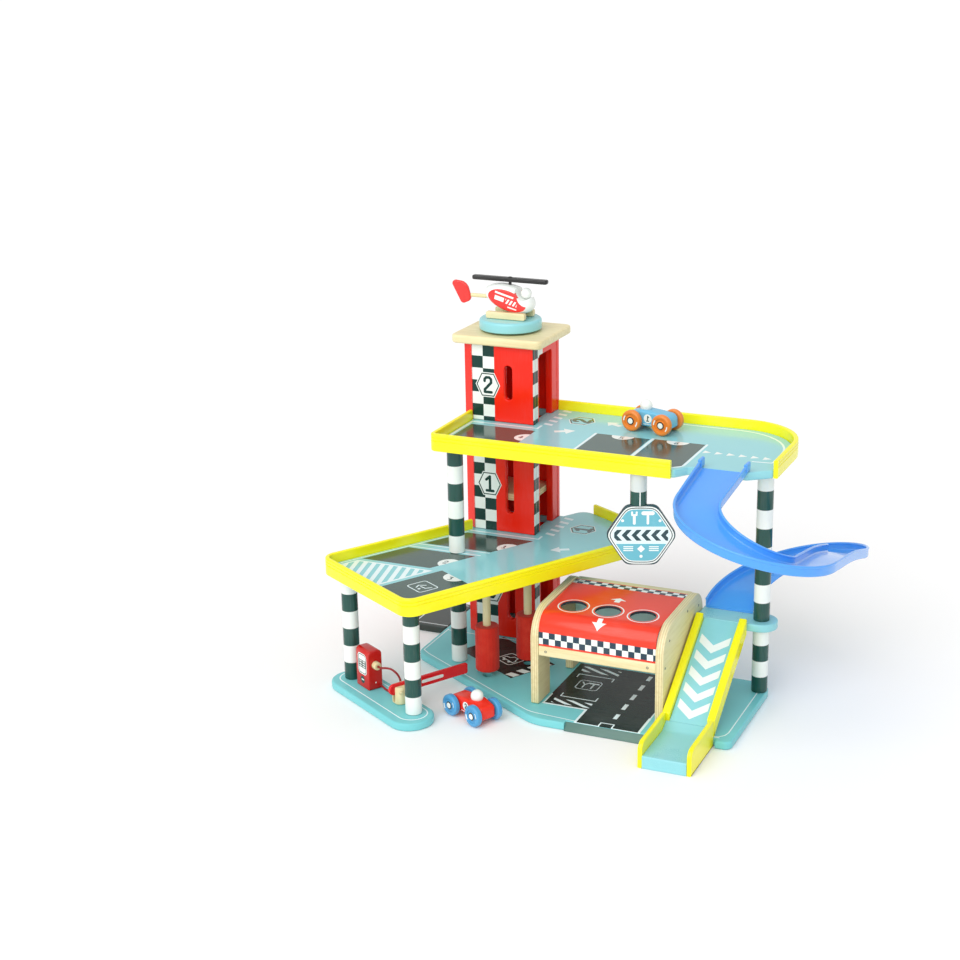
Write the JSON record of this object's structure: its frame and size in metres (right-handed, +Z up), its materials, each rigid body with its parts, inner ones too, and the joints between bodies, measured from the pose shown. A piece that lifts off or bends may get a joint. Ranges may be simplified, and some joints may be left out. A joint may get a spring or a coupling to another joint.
{
  "type": "wooden toy garage",
  "caption": "Wooden toy parking garage with a lift tower, two railed decks, a workshop, a ramp, a curved slide, a fuel island, a helicopter and cars.",
  "frame": {"origin": "a point on the underside of the base plate, near its middle", "axes": "+X runs along the tower's front towards the slide, +Y from the entry towards the back, +Z up"},
  "size_m": [0.5748, 0.3723, 0.4367],
  "materials": {
    "yellow_rail": "gloss paint",
    "aqua_board": "satin paint",
    "dark_board": "satin paint",
    "column_paint": "gloss paint in bands",
    "tower_red": "satin paint with printed checks",
    "roof_red": "satin paint with printed checks",
    "plywood": "clear lacquer",
    "slide_plastic": "moulded, glossy",
    "sign_print": "satin print",
    "pump_red": "gloss paint",
    "hose_plastic": "satin",
    "helicopter_white": "gloss paint",
    "rotor_black": "gloss paint",
    "tail_red": "gloss paint",
    "car_red": "gloss paint",
    "car_blue": "gloss paint",
    "wheel_blue": "gloss paint",
    "wheel_orange": "gloss paint"
  },
  "bodies": {
    "garage": {"base_plate": "aqua_board", "front_entry_lip": "dark_board", "left_road_plate": "dark_board", "island_base": "aqua_board", "mid_deck": "aqua_board", "mid_deck_rail": "yellow_rail", "upper_deck": "aqua_board", "upper_front_rail": "yellow_rail", "upper_back_rail": "yellow_rail", "tower_front_ground": "tower_red", "tower_back_ground": "tower_red", "tower_doorway_ground": "tower_red", "tower_front_middle": "tower_red", "tower_back_middle": "tower_red", "tower_doorway_middle": "tower_red", "tower_front_top": "tower_red", "tower_back_top": "tower_red", "tower_doorway_top": "tower_red", "roof_board": "plywood", "column_island_back": "column_paint", "column_island_front": "column_paint", "column_left_lower": "column_paint", "column_left_upper": "column_paint", "column_right_lower": "column_paint", "column_right_upper": "column_paint", "sign_post": "column_paint", "sign_board": "sign_print", "pump_body": "pump_red", "pump_nozzle": "plywood", "pump_hose": "hose_plastic", "barrier_block": "plywood", "workshop_left_side": "plywood", "workshop_right_side": "plywood", "workshop_front_beam": "plywood", "workshop_back_beam": "plywood", "workshop_roof": "roof_red", "landing_board": "aqua_board", "ramp_board": "aqua_board", "ramp_rail_left": "yellow_rail", "ramp_rail_right": "yellow_rail", "ramp_foot": "aqua_board", "slide_upper": "slide_plastic", "slide_lower": "slide_plastic"},
    "pad": {"helipad_disc": "aqua_board"},
    "lift": {"lift_floor": "plywood"},
    "helicopter": {"helicopter_body": "helicopter_white", "helicopter_pilot": "helicopter_white", "helicopter_tail": "tail_red", "helicopter_skids": "plywood"},
    "rotor": {"helicopter_rotor": "rotor_black"},
    "roller_front": {"wash_roller_front": "pump_red"},
    "roller_back": {"wash_roller_back": "pump_red"},
    "barrier": {"barrier_arm": "pump_red"},
    "red_car": {"red_car_body": "car_red"},
    "red_car_front": {"red_car_front_wheels": "wheel_blue"},
    "red_car_rear": {"red_car_rear_wheels": "wheel_blue"},
    "blue_car": {"blue_car_body": "car_blue"},
    "blue_car_front": {"blue_car_front_wheels": "wheel_orange"},
    "blue_car_rear": {"blue_car_rear_wheels": "wheel_orange"}
  },
  "joints": [
    {"name": "pad_turn", "type": "hinge", "parent": "garage", "child": "pad", "pos_m": [-0.139, 0.089, 0.375], "axis": [0, 0, 1], "range_deg": [-920, 440]},
    {"name": "lift_travel", "type": "slide", "parent": "garage", "child": "lift", "axis": [0, 0, 1], "range_m": [-0.1685, 0.0885]},
    {"name": "helicopter_lift", "type": "slide", "parent": "pad", "child": "helicopter", "axis": [0, 0, 1], "range_m": [0, 0.08]},
    {"name": "rotor_spin", "type": "hinge", "parent": "helicopter", "child": "rotor", "pos_m": [-0.139, 0.089, 0.425], "axis": [0, 0, 1], "continuous": true},
    {"name": "roller_front_spin", "type": "hinge", "parent": "garage", "child": "roller_front", "pos_m": [-0.1082, -0.0578, 0.012], "axis": [0, 0, 1], "continuous": true},
    {"name": "roller_back_spin", "type": "hinge", "parent": "garage", "child": "roller_back", "pos_m": [-0.0788, -0.01, 0.012], "axis": [0, 0, 1], "continuous": true},
    {"name": "barrier_swing", "type": "hinge", "parent": "garage", "child": "barrier", "pos_m": [-0.16861, -0.16155, 0.0237], "axis": [0.859, -0.512, 0], "range_deg": [0, 85]},
    {"name": "red_car_lift", "type": "slide", "parent": "garage", "child": "red_car", "axis": [0, 0, 1], "range_m": [0, 0.06]},
    {"name": "red_car_front_roll", "type": "hinge", "parent": "red_car", "child": "red_car_front", "pos_m": [-0.0688, -0.15554, 0.0123], "axis": [0.4446, 0.8957, 0], "continuous": true},
    {"name": "red_car_rear_roll", "type": "hinge", "parent": "red_car", "child": "red_car_rear", "pos_m": [-0.1032, -0.13846, 0.0123], "axis": [0.4446, 0.8957, 0], "continuous": true},
    {"name": "blue_car_lift", "type": "slide", "parent": "garage", "child": "blue_car", "axis": [0, 0, 1], "range_m": [0, 0.06]},
    {"name": "blue_car_front_roll", "type": "hinge", "parent": "blue_car", "child": "blue_car_front", "pos_m": [0.01859, 0.08503, 0.2873], "axis": [0.1736, 0.9848, 0], "continuous": true},
    {"name": "blue_car_rear_roll", "type": "hinge", "parent": "blue_car", "child": "blue_car_rear", "pos_m": [0.05641, 0.07837, 0.2873], "axis": [0.1736, 0.9848, 0], "continuous": true}
  ],
  "couplings": [
    {"joint": "lift_travel", "follows": "pad_turn", "m_per_rad": 0.01}
  ]
}
